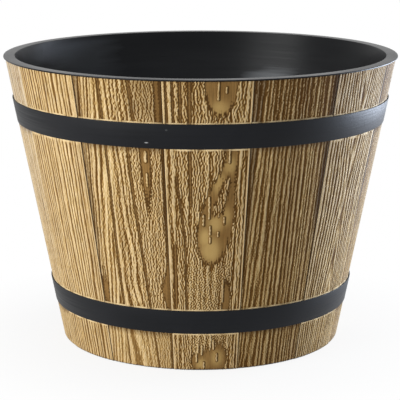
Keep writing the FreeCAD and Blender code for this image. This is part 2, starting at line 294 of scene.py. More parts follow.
def knot_hollows(across, up, tip, ragged):
    """Distances outside the islands of the knot plank and outside all its hollows: an oval with a tongue that
    bends round a lens of ridges, ovals at the top and the foot, brown channels and a brown patch."""
    island = melt(
        1.6,
        oval(across - 0.1 * (tip - 148), tip, (7.6, 147), (16.6, 36.5)),
        bar(across, tip, (2, 176), (19, 211), 4.4, 4.6),
        bar(across, tip, (20, 231), (21, 212), 6.0, 5.0),
        bar(across, tip, (22.8, 226), (21.5, 158), 3.0, 3.6)) + ragged
    lens = bar(across, tip, (9.8, 166), (19.2, 196), 4.4, 1.2) + ragged
    island = np.maximum(island, -lens)
    island = np.minimum(island, oval(across, tip, (10.6, 292), (13.6, 36)) + ragged)
    foot = melt(2.0, oval(across, tip, (13, 13), (11, 17)), oval(across, tip, (-4, 10), (13, 13))) + ragged
    channels = np.minimum.reduce([
        channel(across, up, (170, 232), (-14.4, -15.0), 1.5),
        channel(across, up, (64, 137, 200), (-20, -20.3, -27), 1.2),
        channel(across, tip, (64, 132), (-31, -30), 1.7),
        *(channel(across, up, (250, 292), (place, place), half) for place, half in CROWN_CHANNELS)])
    channels += 0.4 * ragged
    brown = oval(across, tip, (20.5, 74), (4.6, 22)) + ragged
    hollow = np.minimum.reduce([island, channels, brown, foot])
    return np.minimum(island, foot + 1.2), hollow


def knot_ridges(across, up, seed):
    """Ridges of the knot plank: slim wandering ones, rounder ones low in the middle, straight ones along both
    long edges, and bars between the channels at the upper left."""
    slim = worms(across, up, 2.3, 0.24, seed + 2, band=0.35)
    plump = worms(across, up, 2.4, 0.75, seed + 3, band=0.3)
    round_worms = smooth(126, 100, up) * smooth(-24, -12, across) * smooth(27, 20, across)
    ridges = slim * (1 - round_worms) + plump * round_worms
    bands = streaks(across, up, 4, 11, 120, seed + 6)
    edge = smooth(24, 28, across) + smooth(-24, -31, across)
    from_middle = np.abs(across + 0.8) + 0.3 * worms(across, up, 40, 0.4, seed + 4)
    pitch = np.where(across < 0, 4.8, 4.0)
    straight = 0.1 + 0.85 * lines(from_middle - 29.4, pitch) + 0.5 * slim
    bars = 0.4 * smooth(-15, -17, across) * smooth(238, 252, up)
    return ridges * (1 - edge) + straight * edge + 0.42 * bands + bars


def knot_plank(across, up, seed):
    """Plank cut through a knot: worm-eaten ridges round smooth islands and channels, with dashes left
    standing in them and golden places wiped on the islands."""
    ragged = 0.35 * worms(across, up, 3.4, 1.2, seed + 1)
    tip = up + 2.2 * streaks(across, up, 1.8, 5, 60, seed + 7)
    island, hollow = knot_hollows(across, up, tip, ragged)
    ridges = smooth(-0.6, 0.7, knot_ridges(across, up, seed))
    dash = dashes(across, up, KNOT_DASHES) + 0.5 * ragged
    # Painted shadow on one side of each dash.
    dash_shadow = dashes(across - DASH_SHADOW_SHIFT, up, KNOT_DASHES)
    height, wiped, stain_and_dash_shadow = carve(ridges, hollow, island, dash, dash_shadow)
    golden = np.maximum.reduce([
        np.exp(-((across - x) / wide) ** 2 - ((up - z) / tall) ** 2) for x, z, wide, tall in GOLDEN_SPOTS])
    return height, wiped * smooth(0, 0.95, golden), stain_and_dash_shadow


ARCH_DASHES = [(22.6, 218, 4.5, 1.3), (22.8, 195.5, 6.0, 0.8)]
# A distance so far outside any island that nothing is wiped.
NO_ISLAND = 9.0
# Brown channels of the arch plank: levels, and the place across at each.
SPINE_LEVELS = (-10, 66, 120, 226, 300)
SPINE_PLACES = (-14, -14.2, -14.8, -13.7, -15)
GROOVE_LEVELS = (-10, 66, 100, 140, 180, 226, 250, 300)
GROOVE_PLACES = (24, 17.2, 14.3, 11.3, 8.3, 7.2, 14.4, 11)


def arch_ridges(across, up, seed):
    """Ridges of the arch plank: broad ones that lean away from the spine downwards, most on its left, and a
    lens of worm-eaten ones beyond the groove."""
    fall = (FAN_TOP - up) / FAN_HEIGHT
    slim = worms(across, up, 2.6, 0.4, seed + 2, band=0.35)
    sway = 0.5 * worms(across, up, 45, 0.5, seed + 4)
    from_spine = across - np.interp(up, SPINE_LEVELS, SPINE_PLACES)
    lean = np.interp(from_spine, (-26, -3, 0, 21), (-13, -16, 1, 11))
    fanned = (across - lean * fall + sway) / np.where(from_spine < 0, 1.15, 1.0)
    fanned -= 0.9 * np.maximum(-23 - fanned, 0)
    crests = lines(fanned, 4.7)
    broad = 0.9 * crests - 0.45 * smooth(0.55, 1.0, crests) + 0.5 * streaks(fanned, up, 3, 14, 300, seed + 6)
    beyond = smooth(0, 3, across - np.interp(up, GROOVE_LEVELS, GROOVE_PLACES))
    eaten = 0.25 + 0.5 * smooth(-13, 0, across)
    return (broad + eaten * slim) * (1 - beyond) + (1.3 * slim + 0.3 * broad) * beyond


def arch_plank(across, up, seed):
    """Plank cut beside the heart: ridges that lean away from a brown spine, a brown groove, and a brown patch
    in the lens beyond it. Stain lies along the right edge and at the upper right, painted shade along the
    left edge, and the foot is golden."""
    ridges = arch_ridges(across, up, seed)
    ragged = 0.3 * worms(across, up, 3.4, 1.2, seed + 1)
    tip = up + 4 * streaks(across, up, 1.6, 4.5, 60, seed + 7)
    low_down = smooth(*FOOT_FADE, up)
    hollow = np.minimum.reduce([
        np.maximum(oval(across, tip, (22.6, 228), (5.0, 62)), up - 240) + ragged,
        37.5 - 7 * np.exp(-((tip - 84) / 16) ** 2) - 4.5 * smooth(230, 260, up) - across + ragged,
        oval(across, tip, (-35, 76), (4.0, 20)) + ragged,
        channel(across, up, GROOVE_LEVELS, GROOVE_PLACES, 1.35 - 0.6 * low_down) + 0.5 * ragged,
        channel(across, up, SPINE_LEVELS, SPINE_PLACES, 1.3 - 0.6 * low_down) + 0.5 * ragged])
    ridges = np.maximum(smooth(-0.8, 0.8, ridges + 0.25), 0.32 * low_down)
    dash = dashes(across, up, ARCH_DASHES) + 0.5 * ragged
    # Painted shadow on one side of each dash.
    dash_shadow = dashes(across - DASH_SHADOW_SHIFT, up, ARCH_DASHES)
    height, wiped, stain_and_dash_shadow = carve(ridges, hollow, NO_ISLAND, dash, dash_shadow)
    edge_stain = (0.4 + 0.45 * smooth(110, 170, up)) * smooth(35.6, 37.2, across + ragged)
    # Painted shade beside the seam along the left edge.
    left_edge_dark = 0.5 * smooth(-32.8, -35.2, across + 2 * ragged) * smooth(80, 150, up)
    top_stain = 0.3 * smooth(3, 12, across) * smooth(246, 262, up)
    stain_and_shade = np.maximum.reduce([stain_and_dash_shadow * (1 - 0.6 * low_down), edge_stain, left_edge_dark, top_stain])
    return height, np.maximum(wiped, 0.15 * low_down * height), stain_and_shade


def ribbed_plank(across, up, seed):
    """Quarter-cut plank: straight beaded ribs of uneven width that fan out a little downwards and grow thin
    at the top, with stain along the upper part of both edges."""
    fall = (FAN_TOP - up) / FAN_HEIGHT
    fan = fall * np.interp(across, (-39, -31, -22, -10, 0, 10, 39), (-9, -9, -5, -3, 0, 2.5, 3))
    uneven = 0.45 * streaks(across, up, 10, 30, 500, seed + 5) + 0.12 * worms(across, up, 16, 1.3, seed + 4)
    ribs = lines(across - fan + uneven, 3.85)
    ribs += 0.3 * streaks(across, up, 4, 12, 200, seed + 6)
    ribs += 0.3 * streaks(across, up, 1.1, 2.6, 30, seed + 2)
    ribs += 0.28 * worms(across, up, 2.2, 0.7, seed + 3, band=0.3)
    left_edge_dark = 0.6 * smooth(1.5, -1.5, across + 32.5 + 6 * fall)
    right_stain = 0.9 * smooth(33.5, 35.5, across) * smooth(110, 170, up)
    crown = smooth(230, 275, up)
    height = 0.08 + 0.7 * smooth(-0.9 + 0.75 * crown, 0.95 + 0.2 * crown, ribs)
    return height, np.zeros_like(up), np.maximum(left_edge_dark, right_stain)


def fine_plank(across, up, seed):
    """Plank with dense fine pale ridges, narrow hollows between them, and a golden foot."""
    uneven = 0.6 * streaks(across, up, 10, 30, 500, seed + 5) + 0.4 * worms(across, up, 60, 0.5, seed + 4)
    ridges = lines(across + uneven, 4.1)
    ridges += 0.2 * streaks(across, up, 4, 14, 200, seed + 6)
    ridges += 0.25 * streaks(across, up, 1.4, 3, 40, seed + 2)
    low_down = smooth(*FOOT_FADE, up)
    height = 0.2 + 0.78 * smooth(-1.0 + 0.2 * low_down, 0.2 + 0.2 * low_down, ridges)
    return height, 0.15 * low_down * height, np.zeros_like(up)


SADDLE_LEVEL = 162
SADDLE_STRAIGHT_BELOW = 52


def saddle_plank(across, up, seed):
    """Plank cut through a saddle of its grain: upright ridges that close in on one point from both sides,
    with nested points above and below it. Low down the ridges run straight, and the foot is golden."""
    sway = 0.4 * worms(across, up, 45, 0.6, seed + 4)
    from_spine = np.hypot(across - 1 + sway, 4)
    from_saddle = np.maximum(up, SADDLE_STRAIGHT_BELOW) - SADDLE_LEVEL
    spread = 0.11 * np.hypot(from_saddle, 8) / (1 + (from_spine / 22) ** 2)
    ridges = lines(from_spine - spread, 4.4) * (0.4 + 0.6 * smooth(4, 9, from_spine))
    ridges += 0.3 * streaks(across, up, 4, 14, 200, seed + 6)
    ridges += 0.3 * streaks(across, up, 1.4, 3, 40, seed + 2)
    crown = smooth(240, 275, up)
    height = 0.08 + 0.92 * smooth(-0.75 + 0.3 * crown, 0.55 - 0.25 * crown, ridges)
    return height, 0.4 * smooth(90, 30, up) * height, np.zeros_like(up)


SHARP_ANGLE = 75


def skin(name, points, ring_of_rows=False):
    """Closed skin through rows of points that each run round once: a quad between neighbours, and a flat
    face across each end, or quads from the last row to the first where the rows form a ring."""
    rows, around = points.shape[:2]
    corner = np.arange(rows * around).reshape(rows, around)
    if ring_of_rows:
        corner = np.vstack([corner, corner[:1]])
    ahead = np.roll(corner, -1, axis=1)
    quads = np.stack([corner[:-1], ahead[:-1], ahead[1:], corner[1:]], axis=-1).reshape(-1, 4)
    corners = quads.ravel()
    starts = 4 * np.arange(len(quads))
    if not ring_of_rows:
        corners = np.concatenate([corners, corner[0, ::-1], corner[-1]])
        starts = np.concatenate([starts, [quads.size, quads.size + around]])
    mesh = bpy.data.meshes.new(name)
    mesh.vertices.add(rows * around)
    mesh.vertices.foreach_set("co", points.reshape(-1).astype(np.float32))
    mesh.loops.add(len(corners))
    mesh.loops.foreach_set("vertex_index", corners.astype(np.int32))
    mesh.polygons.add(len(starts))
    mesh.polygons.foreach_set("loop_start", starts.astype(np.int32))
    mesh.update(calc_edges=True)
    mesh.validate()
    mesh.shade_smooth()
    mesh.set_sharp_from_angle(angle=math.radians(SHARP_ANGLE))
    piece = bpy.data.objects.new(name, mesh)
    bpy.context.scene.collection.objects.link(piece)
    return piece


def record_values(piece, name, numbers):
    """Stores one number for each point of a piece, for its material to read."""
    attribute = piece.data.attributes.new(name, "FLOAT", "POINT")
    attribute.data.foreach_set("value", numbers.reshape(-1).astype(np.float32))


def face_radius(up, back):
    """Radius of a stave's outer face: the taper, one shoulder more below each hoop, less the set-back and
    the bevel at the foot."""
    shoulders = sum((up < level).astype(float) for level in SHOULDER_LEVELS)
    return SEAT_FOOT + TAPER * up + SHOULDER * shoulders - back - np.maximum(FOOT_CHAMFER - up, 0)


def bore_radius(up):
    """Radius of a stave's inner face, with the groove that takes the base boards."""
    groove = (up > CROZE_LOW) & (up < CROZE_HIGH)
    return np.where(groove, CROZE_RADIUS, SEAT_FOOT + TAPER * up - PLANK_THICKNESS)


STEP_PAIR = 0.02
ROWS_ABOVE_HOOPS = (0.0, 0.7, 1.4)


def plank_rows(step):
    """Heights of a plank's rows: even steps, close pairs where the wood steps in or out, and rows from the
    top of each hoop on."""
    even = np.linspace(0, WOOD_TOP, int(WOOD_TOP / step) + 1)
    steps = np.array([*SHOULDER_LEVELS, CROZE_LOW, CROZE_HIGH])
    pairs = np.concatenate([steps - STEP_PAIR, steps + STEP_PAIR])
    above_hoops = np.add.outer(HOOP_TOPS, ROWS_ABOVE_HOOPS).ravel()
    return np.unique(np.concatenate([even, [FOOT_CHAMFER], pairs, above_hoops]))


KEPT_EDGE = 1.3
SEAM_EDGE = 0.7
SIDE_WALL = 0.12


def stave_marks(proud, pattern, seed, flip, bleach_and_sheen, across, up, to_edge):
    """Ridge height, wiped share, stain with painted shade, and pale over a stave's face: its plank's grain,
    then bare wood above the hoops; on a proud stave, pale edges, worn bare and a painted highlight, and a
    painted highlight under each hoop; on a set-back stave, painted shade in its seams and painted shadow
    under the hoops; and dark side walls and a painted shadow along the foot."""
    ridge, wiped, stain_and_shade = pattern(-across if flip else across, up, seed)
    ridge = ridge * np.clip(0.96 + 0.13 * streaks(across, up, 2, 6, 12, seed + 8), 0, 1.08)
    ridge = ridge * (1 - 0.07 * smooth(240, 285, up))
    patchy = 0.75 + 0.35 * worms(across, up, 22, 0.3, seed + 9)
    pale = np.zeros_like(ridge)
    for level in HOOP_TOPS:
        pale = np.maximum(pale, patchy * smooth(1.3, 0.7, np.abs(up - level)))
    if proud:
        # On a proud stave the edges stay high and pale, worn bare and a painted highlight, and a pale line
        # under each hoop is a painted highlight on its shoulder.
        ridge = np.where(to_edge < KEPT_EDGE, np.maximum(ridge, 0.85), ridge)
        for level in SHOULDER_LEVELS:
            pale = np.maximum(pale, 0.8 * patchy * smooth(1.2, 0.6, np.abs(up - level + 0.7)))
        pale = np.maximum(pale, 0.6 * patchy * smooth(1.8, 1.0, to_edge))
    else:
        # On a set-back stave: painted shade along its seams, where the ridges are kept low too, and painted
        # shadow under each hoop.
        seam_shade_share = 0.25 + 0.75 * smooth(0.3, 0.15, bleach_and_sheen)
        ridge = np.where(to_edge < SEAM_EDGE, np.minimum(ridge, 1 - 0.7 * seam_shade_share), ridge)
        seam_shade = 0.9 * smooth(1.9, 1.0, to_edge) * (0.45 + 0.55 * smooth(60, 190, up))
        stain_and_shade = np.maximum(stain_and_shade, seam_shade_share * seam_shade)
        for level in SHOULDER_LEVELS:
            stain_and_shade = np.maximum(stain_and_shade, 0.6 * smooth(7, 0, level - up) * (up < level))
    side_wall = smooth(SIDE_WALL, 0, to_edge)
    # Dark side walls, and a painted shadow along the foot.
    stain_and_shade = np.maximum.reduce([stain_and_shade, side_wall, 0.75 * smooth(2.4, 0.6, up)])
    pale = np.clip(pale, 0, 1) * (1 - side_wall)
    return np.maximum(ridge, pale), wiped, stain_and_shade, pale


EDGE_COLUMNS = np.array([0.0, 0.12, 0.3, 0.55, 0.9])
FACE_INSET = 1.3
BACK_COLUMNS = 8
SAWN_RIDGE = 0.62
PLANK_SPACING = 150.0


def make_stave(number, pattern, seed, flip, bleach_and_sheen, steps):
    """One stave: outer columns from left to right and inner columns back, as a ring at each height."""
    column_step, row_step = steps
    proud = number % 2 == 1
    turn = FRONT_TURN + (number - 1) * 360 / STAVE_COUNT
    half = (PROUD_ANGLE if proud else 720 / STAVE_COUNT - PROUD_ANGLE) / 2 - STAVE_GAP / 2
    half_width = half * MM_PER_DEGREE
    face_edge = half_width - FACE_INSET
    middle = np.linspace(-face_edge, face_edge, int(2 * half_width / column_step))
    columns = np.concatenate([EDGE_COLUMNS - half_width, middle, half_width - EDGE_COLUMNS[::-1]])
    up, across = np.meshgrid(plank_rows(row_step), columns, indexing="ij")
    to_edge = half_width - np.abs(across)
    ridge, wiped, stain_and_shade, pale = stave_marks(proud, pattern, seed, flip, bleach_and_sheen, across, up, to_edge)

    corner_drop = EDGE_ROUND - np.sqrt(EDGE_ROUND ** 2 - np.maximum(EDGE_ROUND - to_edge, 0) ** 2)
    radius = face_radius(up, 0 if proud else SET_BACK) - GRAIN_DEPTH * (1 - ridge) - corner_drop
    back_columns = np.linspace(half_width, -half_width, BACK_COLUMNS)
    back_up, back_across = np.meshgrid(up[:, 0], back_columns, indexing="ij")
    across = np.hstack([across, back_across])
    height = np.hstack([up, back_up])
    radius = np.hstack([radius, bore_radius(back_up)])
    angle = np.radians(turn + across / MM_PER_DEGREE)
    points = MM * np.stack([radius * np.sin(angle), -radius * np.cos(angle), height], axis=-1)
    stave = skin(f"stave_{number:02d}_grain", points)

    plain_back = np.zeros_like(back_up)
    ridge = np.hstack([ridge, plain_back + SAWN_RIDGE])
    # Grey of bleaching and of a painted sheen, more of it higher up and on the ridges.
    weather_and_sheen = 0.1 + 0.65 * smooth(60, 190, height) + 0.75 * smooth(200, 290, height)
    record_values(stave, "ridge", ridge)
    record_values(stave, "wiped", np.hstack([wiped, plain_back]))
    record_values(stave, "stain_and_shade", np.hstack([stain_and_shade, plain_back]))
    record_values(stave, "pale", np.hstack([pale, plain_back]))
    record_values(stave, "bleach_and_sheen", bleach_and_sheen * weather_and_sheen * ridge ** 2)
    along = stave.data.attributes.new("plank_place", "FLOAT_VECTOR", "POINT")
    place = MM * np.stack([across, np.full_like(height, PLANK_SPACING * number), height], axis=-1)
    along.data.foreach_set("vector", place.reshape(-1).astype(np.float32))
    stave.data.materials.append(stave_wood)
    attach(stave, "tub")
    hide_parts(f"stave_{number:02d}")


# Stain by the height of the ridges, shades along the fibre, and the tones that lie over them.
RIDGE_TONES = [
    (0.0, (0.25, 0.141, 0.046)), (0.08, (0.1, 0.043, 0.0075)), (0.34, (0.19, 0.098, 0.026)),
    (0.6, (0.42, 0.268, 0.1)), (0.82, (0.585, 0.418, 0.2)), (1.0, (0.67, 0.505, 0.285)),
]
STREAK_SHADES = [(0.3, (0.68,) * 3), (0.7, (1.28,) * 3)]
DRIFT_SHADES = [(0.3, (0.86, 0.82, 0.78)), (0.7, (1.12, 1.14, 1.16))]
WIPED_GOLD = (0.46, 0.305, 0.112, 1)
# Deep stain, which also lays painted shade and shadow.
DEEP_STAIN_AND_SHADE = (0.062, 0.028, 0.007, 1)
# Bare wood, which also lays painted highlights.
BARE_WOOD_AND_HIGHLIGHT = (0.76, 0.58, 0.33, 1)
# Grey of bleaching and of a painted sheen.
BLEACH_AND_SHEEN_GREY = (0.62, 0.585, 0.54, 1)
COOL_SHEEN = (0.8, 0.9, 1.0, 1)
STAVE_STREAKS = (900, 900, 35)


def stained_wood():
    """Pressed and wiped stain: dark at the foot of the ridges, brown on open hollows, golden on the ridges
    and on wiped islands, almost bare along worn edges, and grey on some staves, bleached and painted
    as a sheen. Deep stain also lays painted shade and shadow, and the bare tone painted highlights."""
    material, tree, shader = new_finish(
        "stained_stave_wood", Specular_IOR_Level=0.05,
        Sheen_Weight=0.7, Sheen_Roughness=0.3, Sheen_Tint=COOL_SHEEN)
    read = {}
    for name in ("ridge", "wiped", "stain_and_shade", "pale", "bleach_and_sheen"):
        read[name] = add_node(tree, "ShaderNodeAttribute", attribute_name=name).outputs["Fac"]
    place = add_node(tree, "ShaderNodeAttribute", attribute_name="plank_place").outputs["Vector"]
    fibre = place_group(tree, wood_fibre, {"Vector": place, "Streaks per metre": STAVE_STREAKS})
    tone = colour_ramp(tree, read["ridge"], RIDGE_TONES)
    streak_shade = colour_ramp(tree, fibre.outputs["Streaks"], STREAK_SHADES)
    drift_shade = colour_ramp(tree, fibre.outputs["Drift"], DRIFT_SHADES)
    tone = tinted(tree, "MULTIPLY", 1.0, tone, streak_shade)
    tone = tinted(tree, "MIX", read["wiped"], tone, WIPED_GOLD)
    # Deep stain also lays painted shade and shadow, and bare wood painted highlights.
    tone = tinted(tree, "MIX", read["stain_and_shade"], tone, DEEP_STAIN_AND_SHADE)
    tone = tinted(tree, "MIX", read["pale"], tone, BARE_WOOD_AND_HIGHLIGHT)
    tone = tinted(tree, "MULTIPLY", 1.0, tone, drift_shade)
    tone = tinted(tree, "MIX", read["bleach_and_sheen"], tone, BLEACH_AND_SHEEN_GREY)
    tree.links.new(tone, shader.inputs["Base Color"])
    tree.links.new(remap(tree, read["ridge"], 0.78, 0.6), shader.inputs["Roughness"])
    tree.links.new(bump(tree, fibre.outputs["Streaks"], 0.35, 0.0003), shader.inputs["Normal"])
    return material


stave_wood = stained_wood()
# Steps between the columns and between the rows of a plank, for short grain, even ribs and long grain.
FINE_STEPS = (0.45, 0.65)
EVEN_STEPS = (0.5, 1.0)
LONG_STEPS = (0.4, 1.5)
# Number, grain, seed, whether it is turned over, share of grey (bleach and painted sheen) and steps.
STAVE_PLANS = [
    (1, knot_plank, 11, False, 0.00, FINE_STEPS),
    (2, ribbed_plank, 22, False, 0.12, FINE_STEPS),
    (3, saddle_plank, 33, False, 0.20, LONG_STEPS),
    (4, ribbed_plank, 44, True, 0.30, EVEN_STEPS),
    (5, arch_plank, 55, True, 0.12, FINE_STEPS),
    (6, ribbed_plank, 66, True, 0.00, EVEN_STEPS),
    (7, knot_plank, 77, True, 0.00, FINE_STEPS),
    (8, saddle_plank, 88, False, 0.08, LONG_STEPS),
    (9, fine_plank, 99, True, 0.14, LONG_STEPS),
    (10, arch_plank, 110, False, 0.00, FINE_STEPS),
    (11, ribbed_plank, 121, True, 0.04, EVEN_STEPS),
    (12, fine_plank, 132, True, 0.34, LONG_STEPS),
    (13, fine_plank, 143, False, 0.00, LONG_STEPS),
    (14, arch_plank, 154, False, 0.00, FINE_STEPS),
]
for plan in STAVE_PLANS:
    make_stave(*plan)


# Hoops: flat strips bent to the taper of the staves and coated satin black. At the back one end is joggled
# out over the other and riveted to it. Rolling has left faint marks along them, and handling a few rubbed
# patches.
HOOP_WIDTH = 24.5
HOOP_THICKNESS = 1.0
HOOP_CLEARANCE = 0.05
HOOP_LAP = 60.0
JOGGLE = 12.0
HOOP_EDGE = 0.35
HOOP_STEPS = 420
# Each hoop rests on a shoulder of the staves: its level, and the number of shoulders above it.
HOOPS = {"upper_hoop": (SHOULDER_LEVELS[1], 0), "lower_hoop": (SHOULDER_LEVELS[0], 1)}
SLOPE_LENGTH = math.hypot(1, TAPER)

# Black skins share slow clouds of tone and fine marks, which a stretch can draw out round the tub.
rubbed, rubbed_in, rubbed_out = effect_group(
    "rubbed_skin",
    {"Vector": "NodeSocketVector", "Marks per metre": "NodeSocketVector"},
    {"Cloud": "NodeSocketFloat", "Marks": "NodeSocketFloat"})
rubbed_cloud = add_node(rubbed, "ShaderNodeTexNoise", {
    "Vector": rubbed_in.outputs["Vector"], "Scale": 14.0, "Detail": 5.0, "Roughness": 0.6})
rubbed_place = add_node(rubbed, "ShaderNodeVectorMath", {
    0: rubbed_in.outputs["Vector"], 1: rubbed_in.outputs["Marks per metre"]}, operation="MULTIPLY")
rubbed_marks = add_node(rubbed, "ShaderNodeTexNoise", {
    "Vector": rubbed_place.outputs[0], "Scale": 1.0, "Detail": 3.0})
rubbed.links.new(rubbed_cloud.outputs["Fac"], rubbed_out.inputs["Cloud"])
rubbed.links.new(rubbed_marks.outputs["Fac"], rubbed_out.inputs["Marks"])


def black_finish(name, dark, light, roughness, marks, depth, gloss):
    """Black skin: two near tones in clouds, and fine marks that vary its roughness and raise a bump."""
    material, tree, shader = new_finish(name, Specular_IOR_Level=gloss, Specular_Tint=(0.9, 0.94, 1, 1))
    place = add_node(tree, "ShaderNodeTexCoord").outputs["Object"]
    skin_marks = place_group(tree, rubbed, {"Vector": place, "Marks per metre": marks})
    tone = colour_ramp(tree, skin_marks.outputs["Cloud"], [(0.35, dark), (0.7, light)])
    shade = colour_ramp(tree, skin_marks.outputs["Marks"], [(0.3, (0.75,) * 3), (0.7, (1.25,) * 3)])
    tree.links.new(tinted(tree, "MULTIPLY", 1.0, tone, shade), shader.inputs["Base Color"])
    tree.links.new(remap(tree, skin_marks.outputs["Marks"], *roughness), shader.inputs["Roughness"])
    tree.links.new(bump(tree, skin_marks.outputs["Marks"], 0.3, depth), shader.inputs["Normal"])
    return material


def rounded_strip(width, thickness, edge):
    """Section of a strip with rounded edges: places (along the width, out of the face), once round from the
    upper inner corner."""
    turns = np.radians(np.array([0, 30, 60, 90]))
    corner = edge * np.stack([1 - np.cos(turns), np.sin(turns)], axis=-1)
    low_in = np.stack([corner[::-1, 0], edge - corner[::-1, 1]], axis=-1)
    low_out = np.stack([corner[:, 0], thickness - edge + corner[:, 1]], axis=-1)
    low = np.concatenate([low_in, low_out])
    high = np.stack([width - low[::-1, 0], low[::-1, 1]], axis=-1)
    return np.concatenate([low, high])[::-1]


# A soft oval round its middle: a rubbed place on a hoop, or a pale patch painted as a highlight in the pot.
soft_oval, oval_in, oval_out = effect_group(
    "soft_oval",
    {"Vector": "NodeSocketVector", "Middle": "NodeSocketVector", "Marks per metre": "NodeSocketVector",
     "Core": "NodeSocketFloat"},
    {"Mask": "NodeSocketFloat"})
oval_from = add_node(soft_oval, "ShaderNodeVectorMath", {
    0: oval_in.outputs["Vector"], 1: oval_in.outputs["Middle"]}, operation="SUBTRACT")
oval_place = add_node(soft_oval, "ShaderNodeVectorMath", {
    0: oval_from.outputs[0], 1: oval_in.outputs["Marks per metre"]}, operation="MULTIPLY")
oval_length = add_node(soft_oval, "ShaderNodeVectorMath", {0: oval_place.outputs[0]}, operation="LENGTH")
oval_mask = add_node(soft_oval, "ShaderNodeMapRange", {
    "Value": oval_length.outputs["Value"], "From Min": 1.0, "From Max": oval_in.outputs["Core"]},
    interpolation_type="SMOOTHSTEP")
soft_oval.links.new(oval_mask.outputs["Result"], oval_out.inputs["Mask"])

# Turn from the front, level, half length, half height and strength of each rubbed place.
SCUFFS = [(-15.4, 232.2, 2.3, 0.75, 1.0), (-9.5, 245.0, 1.5, 1.1, 0.16)]
SCUFF_HALF_DEPTH = 20.0
SCUFF_CORE = 0.4
SCUFF_GREY = (0.3, 0.31, 0.32, 1)

hoop_coat = black_finish(
    "satin_black_coat", dark=(0.0022, 0.0024, 0.0034), light=(0.0045, 0.0048, 0.0064),
    roughness=(0.3, 0.66), marks=(14, 14, 600), depth=0.0003, gloss=0.21)
coat_tree = hoop_coat.node_tree
coat_shader = coat_tree.nodes["Principled BSDF"]
coat_tone = coat_shader.inputs["Base Color"].links[0].from_socket
coat_place = add_node(coat_tree, "ShaderNodeTexCoord").outputs["Object"]
for scuff_turn, scuff_level, half_length, half_height, share in SCUFFS:
    scuff_radius = SEAT_FOOT + TAPER * scuff_level + HOOP_CLEARANCE + HOOP_THICKNESS
    scuff_angle = math.radians(scuff_turn)
    scuff_middle = (scuff_radius * math.sin(scuff_angle), -scuff_radius * math.cos(scuff_angle), scuff_level)
    scuff_reach = (half_length, SCUFF_HALF_DEPTH, half_height)
    rub = place_group(coat_tree, soft_oval, {
        "Vector": coat_place, "Middle": [MM * number for number in scuff_middle],
        "Marks per metre": [1 / (MM * number) for number in scuff_reach], "Core": SCUFF_CORE})
    rub_share = remap(coat_tree, rub.outputs["Mask"], 0, share)
    coat_tone = tinted(coat_tree, "MIX", rub_share, coat_tone, SCUFF_GREY)
coat_tree.links.new(coat_tone, coat_shader.inputs["Base Color"])

strip = rounded_strip(HOOP_WIDTH, HOOP_THICKNESS, HOOP_EDGE)
for name, (level, shoulders) in HOOPS.items():
    middle = SEAT_FOOT + TAPER * (level + HOOP_WIDTH / 2) + shoulders * SHOULDER
    lap_turn = math.degrees(HOOP_LAP / middle)
    joggle_turn = math.degrees(JOGGLE / middle)
    start = -180 + lap_turn / 2
    path = np.linspace(start - 360 - lap_turn, start, HOOP_STEPS)
    lap_start = start - 360
    raised = smooth(lap_start + joggle_turn, lap_start, path) * (HOOP_THICKNESS + HOOP_CLEARANCE)
    turn, along = np.meshgrid(np.radians(path), strip[:, 0], indexing="ij")
    out = strip[:, 1] + HOOP_CLEARANCE + raised[:, None]
    height = level + along / SLOPE_LENGTH
    radius = SEAT_FOOT + TAPER * height + shoulders * SHOULDER + out
    points = MM * np.stack([radius * np.sin(turn), -radius * np.cos(turn), height], axis=-1)
    hoop = skin(f"{name}_strip", points)
    hoop.data.materials.append(hoop_coat)
    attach(hoop, "tub")
    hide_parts(name)
    dress(f"{name}_rivets", hoop_coat)


# Inner pot: one moulding of matte black plastic that hangs in the tub by the flat flange on its rim. Its
# wall follows the staves and its floor has the drain hole in the middle. Low in it the plastic turns grey
# with dust and a painted sheen, and pale patches on the wall are painted highlights.
RIM_RADIUS = 200.0
RIM_TOP = 292.5
FLANGE = 1.4
RIM_ROUND = 0.6
POT_CLEARANCE = 0.4
POT_WALL = 2.5
POT_FLOOR_LOW, POT_FLOOR_HIGH = 36.0, 39.0
POT_CORNER = 10.0
SMALL_ROUND = 0.4
DRAIN_RADIUS = 11.0
CORNER_POINTS = 8
POT_SIDES = 256
DUST_AND_SHEEN_GREY = (0.06, 0.062, 0.067, 1)
DUST_SHEEN_FROM, DUST_SHEEN_FULL = 0.05, 0.35
DUST_AND_HIGHLIGHT_STREAKS = (9, 9, 90)
INSIDE_FULL = 0.02
HIGHLIGHT_GREY = (0.32, 0.34, 0.37, 1)
# Middle, reach each way and strength of each pale patch, a painted highlight.
INSIDE_HIGHLIGHTS = [((84, 162, 226), (72, 85, 44), 1.0), ((-125, 130, 265), (80, 90, 50), 0.14)]
HIGHLIGHT_CORE = 0.0
HIGHLIGHT_FROM, HIGHLIGHT_FULL = 0.75, 1.35
# Depth in the pot at the corners of its profile: 1 on the inside of the floor, 0 at the rim and outside.
INSIDE_DEPTHS = (1.0, 0.0, 0.0, 0.0, 0.0, 0.0, 0.0, 1.0)


def round_corner(before, corner, after, radius, count):
    """Arc of a radius that touches the two straight runs at a corner of a profile."""
    before, corner, after = (np.array(p, float) for p in (before, corner, after))
    back = (before - corner) / np.linalg.norm(before - corner)
    ahead = (after - corner) / np.linalg.norm(after - corner)
    half = math.acos(float(back @ ahead)) / 2
    reach = radius / math.tan(half)
    bisector = (back + ahead) / np.linalg.norm(back + ahead)
    centre = corner + bisector * radius / math.sin(half)
    first, last = corner + back * reach - centre, corner + ahead * reach - centre
    share = np.linspace(0, 1, count)[:, None]
    spread = math.acos(float(np.clip(first @ last / radius ** 2, -1, 1)))
    arc = (np.sin((1 - share) * spread) * first + np.sin(share * spread) * last) / math.sin(spread)
    return centre + arc


